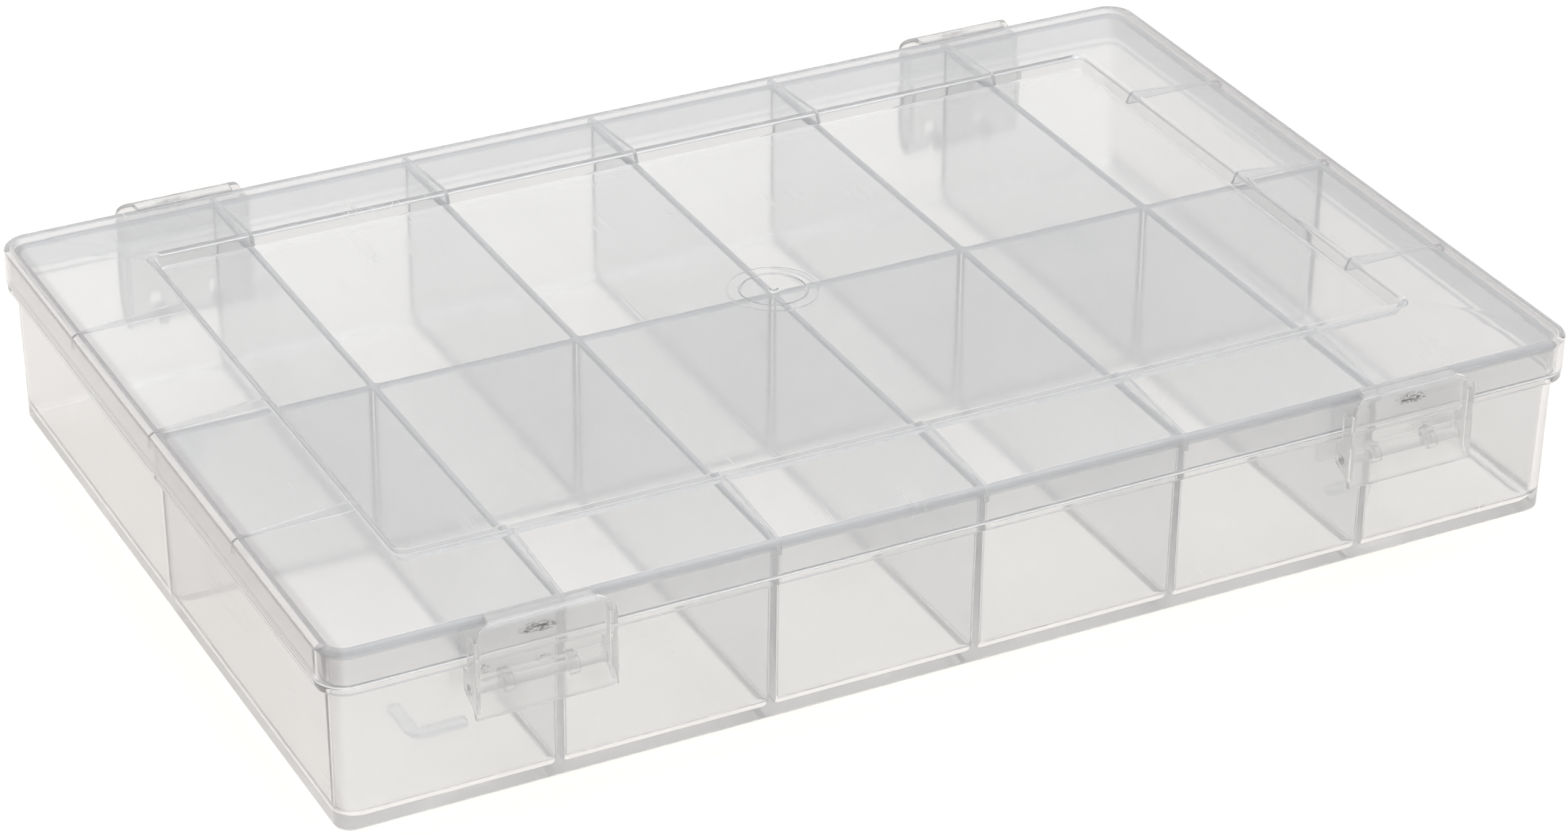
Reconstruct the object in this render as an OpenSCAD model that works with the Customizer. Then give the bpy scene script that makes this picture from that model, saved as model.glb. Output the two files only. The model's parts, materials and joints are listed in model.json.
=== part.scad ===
// Flat clear-plastic tackle box: a tray with twelve fixed compartments, a lid on two rear
// hinge clips, and two front latches. The origin is on the surface that the box stands on,
// under its centre. +X runs along the box, +Y to the hinge side, +Z up.

/* [Box] */
// Length of the lid along X
box_l = 330; // [300:5:360]
// Width of the lid along Y
box_w = 220; // [200:5:240]
// Height from the tray's base plane to the lid's edge
box_h = 49.8; // [48:0.2:60]
// Corner radius of the lid's outside
corner_r = 7.5; // [7:0.5:9]
// Wall thickness of the tray, the lid's skirt and the dividers
wall_t = 1.5; // [1.4:0.1:1.7]

/* [Tray] */
// Thickness of the tray's floor
floor_t = 2.1; // [1.8:0.1:3]
// Depth of the rim below the lid's edge
rim_drop = 2.5; // [2.3:0.1:3]
// Inset of the tray's wall from the lid's outside at the rim
rim_inset = 2.4; // [2.3:0.1:2.6]
// Inset of the tray's wall from the lid's outside at the base
base_inset = 3.1; // [3:0.1:3.6]
// Radius where the walls meet the floor inside
floor_fillet = 4; // [3:0.5:5]
// Number of compartments along X
columns = 6; // [4:1:8]
// Height of the stacking feet
foot_h = 1.5; // [1:0.1:2]
// Distance from the lid's outside to the outer edge of a foot
foot_inset = 32.3; // [32:0.1:34]
// Length of each arm of an L-shaped foot
foot_l = 14.5; // [10:0.5:20]
// Width of each arm of an L-shaped foot
foot_w = 3; // [2:0.5:4]

/* [Lid] */
// Depth of the lid's skirt
skirt_h = 10; // [8:0.5:10]
// Radius of the lid's top edge
edge_r = 2; // [1.5:0.1:2]
// Distance from the lid's outside to the ridge
ridge_inset = 30; // [25:1:30]
// Height of the ridge over the lid's edge
ridge_h = 2.5; // [2:0.1:4]
// Depth of the centre panel below the lid's edge
panel_drop = 0.75; // [0.6:0.05:1]
// Thickness of the lid's panel
lid_t = 1.25; // [1.1:0.05:1.3]
// Thickness of the ribs under the lid's margin
rib_t = 1; // [0.8:0.1:1.5]

/* [Clips] */
// Distance of each clip's centre from the middle of the box
clip_x = 114.3; // [100:0.1:120]
// Width of a clip
clip_w = 34.8; // [30:0.2:40]
// Width of a clip's hook
hook_w = 26; // [20:0.5:28]
// Distance that a clip stands proud of the lid's skirt
clip_d = 5; // [4.8:0.1:5.4]
// Thickness of a clip's walls
clip_t = 1.4; // [1.2:0.1:1.5]
// Radius of the pivot rods
rod_r = 1.3; // [1.1:0.05:1.4]

/* [Hidden] */

clear = [0.88, 0.885, 0.89, 0.55];
frosted = [0.93, 0.935, 0.94, 0.85];

// Heights
edge_z = foot_h + box_h;          // the lid's edge
rim_z = edge_z - rim_drop;        // the tray's rim and the dividers' tops
floor_z = foot_h + floor_t;       // the floor's upper face
flange_z = edge_z - skirt_h;      // the flange's upper face, under the skirt
flange_t = 2;
flange_inset = 0.2;               // the flange stops just inside the skirt's outside
base_r = 1;                       // bevel under the tray

// The walls lean outwards from base to rim, so an inset follows the height
draft = (base_inset - rim_inset) / (rim_z - foot_h);
function wall_inset(z) = base_inset - draft * (z - foot_h);

// Dividers: equal compartments between the end walls
inner_l = box_l - 2 * (base_inset + wall_t);
pitch = (inner_l + wall_t) / columns;

// Clip frame: u is measured outwards from the skirt, v upwards from the lid's edge
hook_top = 0.3;                   // the hook's upper face
hook_r = 4.5;                     // outer radius over the top of a clip
hook_reach = 1;                   // how far the hook reaches over the lid's edge
hook_gap = 0.15;                  // clearance between the hook and the rounded edge
latch_u = 0;                      // the latches' pivot
latch_v = -17.9;
latch_lip = -23.4;                // lower end of a latch
latch_eye = 2.4;                  // radius of a latch's side plates round the pivot
hinge_u = 0.35;                   // the rear clips' pivot
hinge_v = -31.2;
hinge_eye = 2.9;                  // radius of a rear clip's side plates round the pivot
ear_w = 2.4;
ear_r = 2.3;
ear_x = 8;                        // distance of an ear from the clip's centre
bore_r = rod_r + 0.05;
mouth_w = 1.8;                    // snap-in mouth of an ear, narrower than the rod
flange_gap = 0.9;                 // room under the flange for a clip's side plates
wall_gap = 0.3;                   // room between a side plate and the tray's wall

arc_n = 5;                        // segments in a rounded corner
overlap = 0.2;                    // how far joined shapes reach into each other

// Points of an arc in a plane, from angle a0 to a1
function arc(cx, cy, r, a0, a1, n) =
    [for (i = [0 : n]) [cx + r * cos(a0 + (a1 - a0) * i / n), cy + r * sin(a0 + (a1 - a0) * i / n)]];

// One loop of a rounded rectangle, inset from the lid's outside, at height z
function loop(inset, z, r) = [
    for (c = [[1, 1, 0], [-1, 1, 90], [-1, -1, 180], [1, -1, 270]])
        for (p = arc(c[0] * (box_l / 2 - inset - r), c[1] * (box_w / 2 - inset - r), r, c[2], c[2] + 90, arc_n))
            [p[0], p[1], z]];

// A closed skin through loops that start and end in a flat face. Each entry is [inset, z, radius].
module skin(profile) {
    loops = [for (p = profile) loop(p[0], p[1], p[2])];
    n = len(loops[0]);
    m = len(loops);
    polyhedron(
        points = [for (l = loops) each l],
        faces = [
            [for (i = [n - 1 : -1 : 0]) i],
            for (k = [0 : m - 2])
                for (i = [0 : n - 1])
                    for (t = [[k * n + i, k * n + (i + 1) % n, (k + 1) * n + (i + 1) % n],
                              [k * n + i, (k + 1) * n + (i + 1) % n, (k + 1) * n + i]])
                        t,
            [for (i = [0 : n - 1]) (m - 1) * n + i]]);
}

// A solid of width w along X from an outline in Y and Z, centred on x = 0
module slab(w, outline) {
    translate([-w / 2, 0, 0])
        rotate([90, 0, 90])
            linear_extrude(w)
                polygon(outline);
}

// Inner wall line from the floor to the rim, as [inset, z]
inner_line = concat(
    [for (p = arc(0, 0, floor_fillet, 270, 180, 4))
        [base_inset + wall_t + floor_fillet + p[0], floor_z + floor_fillet + p[1]]],
    [[rim_inset + wall_t, rim_z]]);

function corner(inset) = max(corner_r - inset, 0.8);

// Places a child, drawn outwards from the skirt and up from the lid's edge, at a front or rear clip
module at_clip(x, front) {
    translate([x, (front ? -1 : 1) * box_w / 2, edge_z])
        rotate([0, 0, front ? 180 : 0])
            children();
}

// A snap-in ear on the tray's wall, with a bore for a rod at (u, v) and a mouth below it
module ear(u, v) {
    wall_u = -wall_inset(edge_z + v - ear_r) - overlap;
    difference() {
        union() {
            translate([-ear_w / 2, wall_u, v - ear_r])
                cube([ear_w, u - wall_u, 2 * ear_r]);
            translate([0, u, v])
                rotate([0, 90, 0])
                    cylinder(h = ear_w, r = ear_r, center = true, $fn = 48);
        }
        translate([0, u, v])
            rotate([0, 90, 0])
                cylinder(h = 2 * ear_w, r = bore_r, center = true, $fn = 48);
        translate([-ear_w, u - mouth_w / 2, v - 2 * ear_r])
            cube([2 * ear_w, mouth_w, 2 * ear_r]);
    }
}

// An L-shaped stacking foot at the corner that sx and sy point to
module foot(sx, sy) {
    x = sx * (box_l / 2 - foot_inset);
    y = sy * (box_w / 2 - foot_inset);
    for (arm = [[foot_l, foot_w], [foot_w, foot_l]])
        translate([min(x, x - sx * arm[0]), min(y, y - sy * arm[1]), 0])
            cube([arm[0], arm[1], foot_h + overlap]);
}

module tray_shell() {
    flange_low = flange_z - flange_t;
    color(clear)
        union() {
            skin(concat(
                [for (p = inner_line) [p[0], p[1], corner(p[0])]],
                [[rim_inset, rim_z, corner(rim_inset)],
                 [wall_inset(flange_z), flange_z, corner(wall_inset(flange_z))],
                 [flange_inset, flange_z, corner(flange_inset)],
                 [flange_inset, flange_low, corner(flange_inset)],
                 [wall_inset(flange_low), flange_low, corner(wall_inset(flange_low))],
                 [base_inset, foot_h + base_r, corner(base_inset)],
                 [base_inset + 0.3 * base_r, foot_h + 0.3 * base_r, corner(base_inset)],
                 [base_inset + base_r, foot_h, corner(base_inset + base_r)]]));
            for (sx = [-1, 1])
                for (sy = [-1, 1])
                    foot(sx, sy);
            for (x = [-clip_x, clip_x])
                for (e = [-ear_x, ear_x]) {
                    at_clip(x + e, true)
                        ear(latch_u, latch_v);
                    at_clip(x + e, false)
                        ear(hinge_u, hinge_v);
                }
        }
}

// One wall across the tray, between columns i and i + 1
module cross_divider(i) {
    half = [for (p = inner_line) [box_w / 2 - p[0], p[1]]];
    color(clear)
        translate([(i - columns / 2) * pitch, 0, 0])
            slab(wall_t, concat(half, [for (k = [len(half) - 1 : -1 : 0]) [-half[k][0], half[k][1]]]));
}

// One length of the middle wall, in column i
module long_divider(i) {
    low = (i - 1 - columns / 2) * pitch + wall_t / 2;
    high = (i - columns / 2) * pitch - wall_t / 2;
    half = [for (p = inner_line) [box_l / 2 - p[0], p[1]]];
    left = i == 1 ? [for (p = half) [-p[0], p[1]]] : [[low, floor_z], [low, rim_z]];
    right = i == columns ? half : [[high, floor_z], [high, rim_z]];
    color(clear)
        translate([0, wall_t / 2, 0])
            rotate([90, 0, 0])
                linear_extrude(wall_t)
                    polygon(concat(right, [for (k = [len(left) - 1 : -1 : 0]) left[k]]));
}

// A rib under the lid's margin, from the skirt to the recess, running out along +Y
module lid_rib(y0) {
    leg = 0.6;
    low = edge_z - 1.6;
    slab(rib_t, [
        [y0 - ridge_inset - 1, low],
        [y0 - wall_t - leg, low],
        [y0 - wall_t - leg, edge_z - 4.6],
        [y0 - wall_t + overlap, edge_z - 4.6],
        [y0 - wall_t + overlap, edge_z - edge_r],
        [y0 - edge_r - 1, edge_z - 0.4],
        [y0 - ridge_inset - 0.3, edge_z + ridge_h - 0.7]]);
}

module lid() {
    panel_z = edge_z - panel_drop;
    ridge_z = edge_z + ridge_h;
    slope_in = ridge_inset + 2;
    color(clear)
        union() {
            skin(concat(
                [[slope_in, panel_z, 2],
                 [ridge_inset + 0.6, ridge_z - 0.2, 2.6],
                 [ridge_inset, ridge_z, 3],
                 [ridge_inset - 1, ridge_z - 0.2, 3.6]],
                [for (p = arc(edge_r, -edge_r, edge_r, 90, 180, 4)) [p[0], edge_z + p[1], corner(p[0])]],
                [[0, flange_z, corner_r],
                 [wall_t, flange_z, corner(wall_t)],
                 [wall_t, edge_z - edge_r, corner(wall_t)],
                 [edge_r + 0.5, edge_z - lid_t, corner(edge_r + 0.5)],
                 [ridge_inset - 0.5, ridge_z - 0.2 - lid_t, 3.4],
                 [slope_in - 1.1, panel_z - lid_t, 2.6]]));
            for (i = [1 - columns / 2 : columns / 2 - 1])
                for (a = [0, 180])
                    rotate([0, 0, a])
                        translate([i * pitch, 0, 0])
                            lid_rib(box_w / 2);
            for (i = [-1 : 1])
                for (a = [-90, 90])
                    rotate([0, 0, a])
                        translate([i * pitch, 0, 0])
                            lid_rib(box_l / 2);
        }
}

// Outside of a clip in U and V, from the hook's tip to the start of its straight face
face_top = [clip_d - hook_r, hook_top - hook_r];
hook_line = arc(face_top[0], face_top[1], hook_r, 90, 0, 8);
// Inside of a clip, back up from its face to the underside of the hook's tip, which clears
// the lid's round edge: the edge's own tangent at 45 degrees is u + v = -edge_r * (2 - sqrt(2))
tip_sum = hook_gap * sqrt(2) - edge_r * (2 - sqrt(2));
hook_back = concat(
    arc(face_top[0], face_top[1], hook_r - clip_t, 0, 90, 8),
    [[tip_sum - hook_top + clip_t, hook_top - clip_t],
     [-hook_reach, tip_sum + hook_reach],
     [-hook_reach, hook_top]]);

// A clip's plate: an outline across its full width, with round upper corners and a grip band
module clip_plate(outline) {
    side_r = (clip_w - hook_w) / 2;
    band_d = 0.3;
    difference() {
        intersection() {
            slab(clip_w, outline);
            translate([0, 2 * clip_d, 0])
                rotate([90, 0, 0])
                    linear_extrude(4 * clip_d)
                        union() {
                            for (sx = [-1, 1])
                                translate([sx * hook_w / 2, hook_top - side_r])
                                    circle(r = side_r, $fn = 48);
                            translate([-hook_w / 2, -box_h])
                                square([hook_w, box_h + hook_top]);
                            translate([-clip_w / 2, -box_h])
                                square([clip_w, box_h + hook_top - side_r]);
                        }
        }
        translate([-clip_w / 2 + 1, clip_d - band_d, -12])
            cube([clip_w - 2, clip_d, 4]);
    }
}

// The two side plates of a clip and the pivot rod between them
module clip_sides(outline, u, v) {
    for (sx = [-1, 1])
        translate([sx * (clip_w - clip_t) / 2, 0, 0])
            slab(clip_t, outline);
    translate([0, u, v])
        rotate([0, 90, 0])
            cylinder(h = clip_w - clip_t, r = rod_r, center = true, $fn = 48);
}

// How far in a side plate may reach under the flange, at depth v
function side_u(v) = wall_gap - wall_inset(edge_z + v);
under_flange = -skirt_h - flange_t - flange_gap;

module latch(x) {
    face_u = clip_d - clip_t;
    bottom = latch_v - latch_eye;
    skirt_gap = 0.3;
    color(frosted)
        at_clip(x, true)
            union() {
                clip_plate(concat(hook_line, [[clip_d, latch_lip], [face_u, latch_lip]], hook_back));
                clip_sides(concat(
                    [[clip_d - 0.5, face_top[1]], [clip_d - 0.5, bottom]],
                    arc(latch_u, latch_v, latch_eye, 270, 180, 6),
                    [[side_u(under_flange), under_flange],
                     [skirt_gap, under_flange],
                     [skirt_gap, face_top[1]]]), latch_u, latch_v);
            }
}

module hinge_clip(x) {
    // The face leans in below its straight part, down to the pivot
    straight_v = -17.4;
    eye_u = hinge_u + hinge_eye;
    lean = [for (a = [0 : 18 : 90])
        [eye_u + (clip_d - eye_u) * cos(a), straight_v + (hinge_v - straight_v) * sin(a)]];
    lean_back = [for (k = [4 : -1 : 0]) [lean[k][0] - clip_t, lean[k][1]]];
    slot_w = ear_w + 0.8;
    slot_top = hinge_v + 3.2;
    flange_u = 0.2;
    skirt_low = 0.3 - skirt_h;
    color(frosted)
        at_clip(x, false)
            union() {
                difference() {
                    clip_plate(concat(hook_line, lean,
                        [[hinge_u, hinge_v - rod_r], [hinge_u, hinge_v + rod_r]], lean_back, hook_back));
                    for (sx = [-1, 1])
                        translate([sx * ear_x - slot_w / 2, -clip_d, slot_top - 2 * clip_d])
                            cube([slot_w, 3 * clip_d, 2 * clip_d]);
                }
                clip_sides(concat(
                    [[clip_d, face_top[1]]], lean,
                    arc(hinge_u, hinge_v, hinge_eye, 0, -180, 12),
                    [[side_u(under_flange), under_flange],
                     [flange_u, under_flange], [flange_u, skirt_low],
                     [0, skirt_low], [0, face_top[1]]]), hinge_u, hinge_v);
            }
}

tray_shell();
cross_divider(1);  // cross_divider_1
cross_divider(2);  // cross_divider_2
cross_divider(3);  // cross_divider_3
cross_divider(4);  // cross_divider_4
cross_divider(5);  // cross_divider_5
long_divider(1);  // long_divider_1
long_divider(2);  // long_divider_2
long_divider(3);  // long_divider_3
long_divider(4);  // long_divider_4
long_divider(5);  // long_divider_5
long_divider(6);  // long_divider_6
lid();
latch(-clip_x);  // latch_left
latch(clip_x);  // latch_right
hinge_clip(-clip_x);  // hinge_clip_left
hinge_clip(clip_x);  // hinge_clip_right
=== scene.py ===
"""A flat clear-plastic tackle box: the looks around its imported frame.

Every piece is a surface worked out in numpy in the frame's own metres. A rounded rectangle
is carried along a wall's cross-section for the tray and the lid, a cross-section is carried
along X for the clips, and flat outlines are given a thickness for ribs, ears and side plates.
"""

import json

import bmesh
import bpy
import numpy as np
from bpy.props import FloatProperty, FloatVectorProperty, PointerProperty
from mathutils import Matrix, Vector
from mathutils.geometry import delaunay_2d_cdt


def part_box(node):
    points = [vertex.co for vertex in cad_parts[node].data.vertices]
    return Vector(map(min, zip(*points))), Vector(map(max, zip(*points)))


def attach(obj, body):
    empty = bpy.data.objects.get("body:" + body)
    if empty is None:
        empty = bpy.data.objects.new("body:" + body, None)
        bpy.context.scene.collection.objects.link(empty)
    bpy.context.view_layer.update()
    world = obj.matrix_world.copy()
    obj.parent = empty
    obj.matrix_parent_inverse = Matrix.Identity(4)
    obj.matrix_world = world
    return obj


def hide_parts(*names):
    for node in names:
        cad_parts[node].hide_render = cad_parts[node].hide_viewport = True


bl_info = {
    "name": "Clear tackle box",
    "version": (1, 0, 0),
    "blender": (4, 5, 0),
    "location": "View3D > Sidebar > Tackle box",
    "description": "Builds a divided clear box with a hinged lid and two latches on its frame",
    "category": "Add Mesh",
}

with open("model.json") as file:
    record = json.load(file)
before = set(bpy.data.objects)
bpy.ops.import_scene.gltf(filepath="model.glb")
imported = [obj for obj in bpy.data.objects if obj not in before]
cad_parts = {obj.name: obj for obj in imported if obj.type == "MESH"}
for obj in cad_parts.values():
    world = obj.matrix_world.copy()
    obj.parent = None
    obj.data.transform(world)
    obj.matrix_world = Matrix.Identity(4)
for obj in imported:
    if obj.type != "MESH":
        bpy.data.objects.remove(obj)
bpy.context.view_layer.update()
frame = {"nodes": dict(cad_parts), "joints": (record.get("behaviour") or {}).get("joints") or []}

MM = 0.001
NUDGE = 0.02 * MM  # keeps the corners of shapes that will be merged from meeting exactly
LID_LOW, LID_HIGH = (np.array(corner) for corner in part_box("lid"))
TRAY_HIGH = np.array(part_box("tray_shell")[1])
LATCH_LOW, LATCH_HIGH = (np.array(corner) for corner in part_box("latch_left"))
HALF_L, HALF_W = LID_HIGH[0], LID_HIGH[1]
RIM_Z = TRAY_HIGH[2]
SKIRT_Z = LID_LOW[2]
RIDGE_Z = LID_HIGH[2]
CLIP_X = -(LATCH_LOW[0] + LATCH_HIGH[0]) / 2
CLIP_W = LATCH_HIGH[0] - LATCH_LOW[0]
CLIP_D = -HALF_W - LATCH_LOW[1]
EDGE_Z = RIDGE_Z - 2.5 * MM  # the lid's edge, if its sloping margin ran out level
MARGIN_SLOPE = 2.3 / 27  # rise of the lid's margin towards the ridge
CLIP_TOP = 0.3 * MM  # a clip's top over the lid's edge
CLIP_BEND = -4.2 * MM  # where a clip's face leaves the rounding over its top
CLIP_SHELF = -12.9 * MM  # where a clip's side plates step in under the lid's skirt
CLIP_GAP = 0.3 * MM  # room between a clip's side plate and the tray's wall
EAR_X = 8 * MM  # an ear's distance from its clip's middle
EAR_T = 2.4 * MM  # thickness of an ear
COLUMNS = 1 + sum(name.startswith("cross_divider") for name in frame["nodes"])
DIVIDERS = sorted(name for name in frame["nodes"] if "divider" in name)
PIVOTS = {joint["name"]: np.array(joint["pos_m"]) for joint in frame["joints"]}


# ---------------------------------------------------------------- sizes and finishes


def length(name, description, default):
    """A size in metres that the user may change."""
    return FloatProperty(name=name, description=description, default=default,
                         unit="LENGTH", subtype="DISTANCE", precision=5)


def share(name, description, default):
    """A number from 0 to 1."""
    return FloatProperty(name=name, description=description, default=default,
                         min=0.0, max=1.0, subtype="FACTOR")


def colour(name, description, default):
    """A linear colour."""
    return FloatVectorProperty(name=name, description=description, default=default,
                               subtype="COLOR", size=3, min=0.0, max=1.0)


class TackleBoxSizes(bpy.types.PropertyGroup):
    """Wall thicknesses and roundings that the frame doesn't hold."""

    wall: length("Wall", "Thickness of the tray's walls and the lid's skirt", 1.5 * MM)
    floor: length("Floor", "Thickness of the tray's floor", 2.1 * MM)
    divider: length("Divider", "Mean thickness of a divider", 1.5 * MM)
    foot: length("Foot", "Height of the stacking feet", 1.5 * MM)
    corner: length("Corner", "Radius of the lid's outer corners", 7.5 * MM)
    edge: length("Edge", "Radius of the lid's top edge", 1.2 * MM)
    panel: length("Lid panel", "Thickness of the lid's panels", 1.25 * MM)
    rib: length("Rib", "Thickness of the ribs under the lid's margin", 1.0 * MM)
    clip: length("Clip", "Thickness of a clip's plate", 1.4 * MM)
    rod: length("Rod", "Radius of a clip's pivot rod", 1.3 * MM)


class TackleBoxPlastic(bpy.types.PropertyGroup):
    """The clear and frosted plastics."""

    clear: colour("Clear", "Tint of the clear plastic", (0.898, 0.904, 0.912))
    # painted shade: this darker colour stands in for the shade on the end walls, not a tint the
    # plastic has
    side: colour("Side", "Tint of the end walls", (0.765, 0.76, 0.765))
    # painted light: this bluish colour stands in for light running along the rims and feet
    edge: colour("Edge", "Tint of rims and feet, where light runs along the plastic",
                 (0.76, 0.785, 0.82))
    frosted: colour("Frosted", "Tint of the clips' plastic", (0.905, 0.905, 0.905))
    scuff: colour("Scuff", "Colour of rubbed dirt on the clips", (0.11, 0.1, 0.09))
    clear_haze: share("Clear haze", "Share of light the clear plastic scatters", 0.13)
    frosted_haze: share("Frosted haze", "Share of light the clips scatter", 0.16)
    gloss: share("Roughness", "Roughness of the clear plastic's moulded faces", 0.06)


class TackleBoxStudio(bpy.types.PropertyGroup):
    """Camera and light."""

    lens: FloatProperty(name="Lens", description="Focal length on a 36 mm wide sensor",
                        default=106.6, unit="CAMERA")
    azimuth: FloatProperty(name="Azimuth", description="Turn of the view to the left",
                           default=np.radians(-27.2821), unit="ROTATION", subtype="ANGLE")
    elevation: FloatProperty(name="Elevation", description="Height of the view",
                             default=np.radians(29.5431), unit="ROTATION", subtype="ANGLE")
    roll: FloatProperty(name="Roll", description="Turn of the camera about its own line of view",
                        default=np.radians(0.5248), unit="ROTATION", subtype="ANGLE")
    place: FloatVectorProperty(name="Place", description="The camera's place",
                               default=(-0.465485, -0.908857, 0.592542),
                               unit="LENGTH", subtype="TRANSLATION", precision=6)
    floor: colour("Floor", "Colour of the floor", (0.965, 0.935, 0.9))
    surround: FloatProperty(name="Surround", description="Brightness all round", default=0.8)
    softbox: FloatProperty(name="Softbox", description="Power of the overhead softbox",
                           default=38.0, unit="POWER")


# ---------------------------------------------------------------- surfaces


def fillet(corners, radii, steps, closed=True):
    """A polyline with round corners, as an array of points.

    Each corner becomes an arc that touches both its edges: the centre lies on the corner's
    bisector at radius / sin(half angle), and the arc turns from one touching point to the
    other. On an open line the two ends stay where they are.
    """
    corners = np.asarray(corners, float)
    radii = np.broadcast_to(np.asarray(radii, float), len(corners)).copy()
    if not closed:
        radii[[0, -1]] = 0.0
    back = np.roll(corners, 1, 0) - corners
    ahead = np.roll(corners, -1, 0) - corners
    if not closed:
        back[0], ahead[-1] = -ahead[0], -back[-1]
    back /= np.linalg.norm(back, axis=1)[:, None]
    ahead /= np.linalg.norm(ahead, axis=1)[:, None]
    half = np.arccos(np.clip((back * ahead).sum(1), -1 + 1e-9, 1 - 1e-9)) / 2
    bisector = back + ahead
    bisector /= np.maximum(np.linalg.norm(bisector, axis=1), 1e-9)[:, None]
    centre = corners + bisector * (radii / np.sin(half))[:, None]
    reach = (radii / np.tan(half))[:, None]
    first, last = corners + back * reach - centre, corners + ahead * reach - centre
    turn = (np.pi - 2 * half)[:, None, None]
    t = np.linspace(0, 1, steps + 1)[None, :, None]
    spun = (np.sin((1 - t) * turn) * first[:, None] + np.sin(t * turn) * last[:, None])
    points = centre[:, None] + spun / np.maximum(np.sin(turn), 1e-9)
    points = np.where((radii > 0)[:, None, None], points, corners[:, None])
    points = points.reshape(-1, corners.shape[1])
    gap = np.linalg.norm(np.diff(points, axis=0), axis=1)
    return points[np.r_[True, gap > 1e-9]]


def rounded_box(x, y, radii, z, steps=8):
    """A rounded rectangle at height z, from its spans in X and Y.

    Corners run anticlockwise from (+X, +Y), each a quarter arc of steps + 1 points, so every
    such loop has the same number of points and two of them can be joined by a grid.
    """
    sx, sy = np.array([1, -1, -1, 1]), np.array([1, 1, -1, -1])
    radii = np.broadcast_to(np.asarray(radii, float), 4)
    angle = np.arange(4)[:, None] * np.pi / 2 + np.linspace(0, np.pi / 2, steps + 1)[None]
    px = (np.where(sx > 0, x[1], x[0]) - sx * radii)[:, None] + radii[:, None] * np.cos(angle)
    py = (np.where(sy > 0, y[1], y[0]) - sy * radii)[:, None] + radii[:, None] * np.sin(angle)
    return np.stack([px, py, np.full_like(px, z)], -1).reshape(-1, 3)


def inset_box(inset, z, radius):
    """A rounded rectangle that lies inset from the lid's outside."""
    return rounded_box((inset - HALF_L, HALF_L - inset), (inset - HALF_W, HALF_W - inset),
                       radius, z)


def inside(points, loop):
    """Which points lie in a loop: those whose ray to +X crosses it an odd number of times."""
    a, b = loop, np.roll(loop, -1, 0)
    py = points[:, 1][:, None]
    spans = (a[:, 1] > py) != (b[:, 1] > py)
    rise = np.where(np.abs(b[:, 1] - a[:, 1]) < 1e-12, 1e-12, b[:, 1] - a[:, 1])
    cross = a[:, 0] + (py - a[:, 1]) / rise * (b[:, 0] - a[:, 0])
    return ((spans & (points[:, 0][:, None] < cross)).sum(1) % 2).astype(bool)


class Surface:
    """Grids, plates and caps gathered into one mesh."""

    def __init__(self):
        self.points, self.faces, self.count = [], [], 0

    def add(self, points, faces):
        """Adds points and faces that index them."""
        self.points.append(np.asarray(points, float))
        self.faces.extend((np.asarray(face) + self.count).tolist() for face in faces)
        self.count += len(points)

    def grid(self, points, around=True, along=False):
        """Quads over a grid of points[i, j]: i along, j around, each closed or open."""
        rows, columns = points.shape[:2]
        i = np.arange(rows if along else rows - 1)[:, None]
        j = np.arange(columns if around else columns - 1)[None]
        up, right = (i + 1) % rows, (j + 1) % columns
        quads = np.stack(np.broadcast_arrays(
            i * columns + j, i * columns + right, up * columns + right, up * columns + j), -1)
        self.add(points.reshape(-1, 3), quads.reshape(-1, 4))

    def cap(self, loop):
        """One flat face that closes a loop."""
        self.add(loop, [np.arange(len(loop))])

    def plate(self, outer, holes):
        """A flat face at the outer loop's height with holes, cut into triangles."""
        loops = [outer, *holes]
        starts = np.cumsum([0] + [len(loop) for loop in loops[:-1]])
        edges = np.concatenate([
            np.stack([np.arange(len(loop)), np.roll(np.arange(len(loop)), -1)], 1) + start
            for loop, start in zip(loops, starts)])
        flat = np.concatenate(loops)[:, :2]
        found = delaunay_2d_cdt(flat.tolist(), edges.tolist(), [], 0, 1e-9)
        points = np.array([tuple(p) for p in found[0]])
        triangles = np.array(found[2])
        middle = points[triangles].mean(1)
        keep = inside(middle, outer[:, :2])
        for hole in holes:
            keep &= ~inside(middle, hole[:, :2])
        height = np.full((len(points), 1), outer[0, 2])
        self.add(np.hstack([points, height]), triangles[keep])

    def prism(self, outline, low, high, place):
        """A flat outline given a thickness from low to high along X, and put in place by a
        function from (across, outline's first, outline's second) to the frame."""
        sides = np.stack([place(np.full(len(outline), x), *outline.T) for x in (low, high)])
        self.grid(sides)
        self.cap(sides[0])
        self.cap(sides[1])

    def piece(self, name, body, slot, material, sharp=35.0):
        """One closed mesh object with outward faces that rides on a body."""
        mesh = bpy.data.meshes.new(name)
        mesh.from_pydata(np.concatenate(self.points).tolist(), [], self.faces)
        work = bmesh.new()
        work.from_mesh(mesh)
        bmesh.ops.remove_doubles(work, verts=work.verts, dist=2e-6)
        bmesh.ops.dissolve_degenerate(work, edges=work.edges, dist=1e-7)
        bmesh.ops.recalc_face_normals(work, faces=work.faces)
        open_edges = sum(not edge.is_manifold for edge in work.edges)
        work.to_mesh(mesh)
        work.free()
        if open_edges:
            raise RuntimeError(f"{name} isn't closed: {open_edges} open edges")
        mesh.shade_smooth()
        mesh.set_sharp_from_angle(angle=np.radians(sharp))
        mesh.materials.append(material)
        piece = bpy.data.objects.new(name, mesh)
        bpy.context.scene.collection.objects.link(piece)
        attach(piece, body)
        return piece


def flatten_normals(piece):
    """Large flat faces keep their own direction, and the roundings between them blend."""
    modifier = piece.modifiers.new("flat faces stay flat", "WEIGHTED_NORMAL")
    modifier.mode = "FACE_AREA"
    modifier.weight = 100
    modifier.keep_sharp = True


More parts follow.
